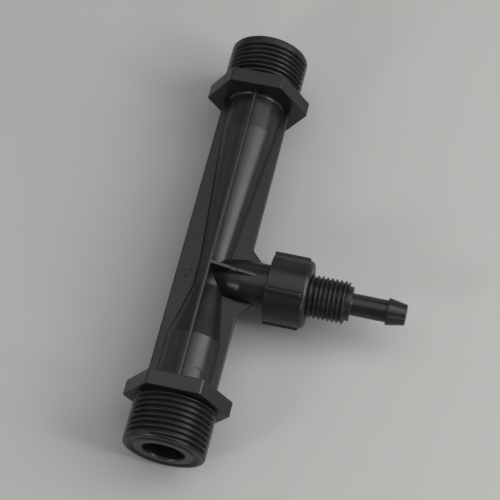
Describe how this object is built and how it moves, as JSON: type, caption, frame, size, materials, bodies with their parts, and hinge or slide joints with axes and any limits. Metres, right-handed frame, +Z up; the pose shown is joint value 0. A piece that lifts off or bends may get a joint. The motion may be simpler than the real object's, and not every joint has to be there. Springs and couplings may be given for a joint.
{
  "type": "venturi fertilizer injector",
  "caption": "Finned black venturi tube with male pipe threads and hexagons at its ends, and a side suction port with a ribbed union nut and a threaded hose tail.",
  "frame": {"origin": "on the flow axis, in the face of the inlet hexagon that a pipe socket meets", "axes": "+Y along the flow from inlet to outlet, +X along the suction port, +Z up; the part lies on the lower flats of both hexagons"},
  "size_m": [0.0813, 0.1472, 0.03],
  "materials": {
    "moulded_black": "moulded black polypropylene, satin",
    "nut_black": "moulded black polypropylene, satin",
    "washer_rubber": "black rubber sheet",
    "ball_white": "polished white plastic",
    "spring_steel": "drawn stainless wire"
  },
  "bodies": {
    "injector": {"body": "moulded_black", "check_spring": "spring_steel"},
    "tail": {"hose_tail": "moulded_black", "seal_washer": "washer_rubber"},
    "nut": {"union_nut": "nut_black"},
    "ball": {"check_ball": "ball_white"}
  },
  "joints": [
    {"name": "tail_back_off", "type": "slide", "parent": "injector", "child": "tail", "axis": [1, 0, 0], "range_m": [0, 0.0071]},
    {"name": "nut_turn", "type": "hinge", "parent": "tail", "child": "nut", "pos_m": [0.026, 0.046, 0], "axis": [1, 0, 0], "range_deg": [0, 1260]},
    {"name": "ball_lift", "type": "slide", "parent": "tail", "child": "ball", "axis": [-1, 0, 0], "range_m": [0, 0.0025], "stiffness_N_per_m": 80, "springref_m": -0.003, "deforming": ["check_spring"]}
  ],
  "couplings": [
    {"joint": "tail_back_off", "follows": "nut_turn", "m_per_rad": 0.00031831}
  ]
}
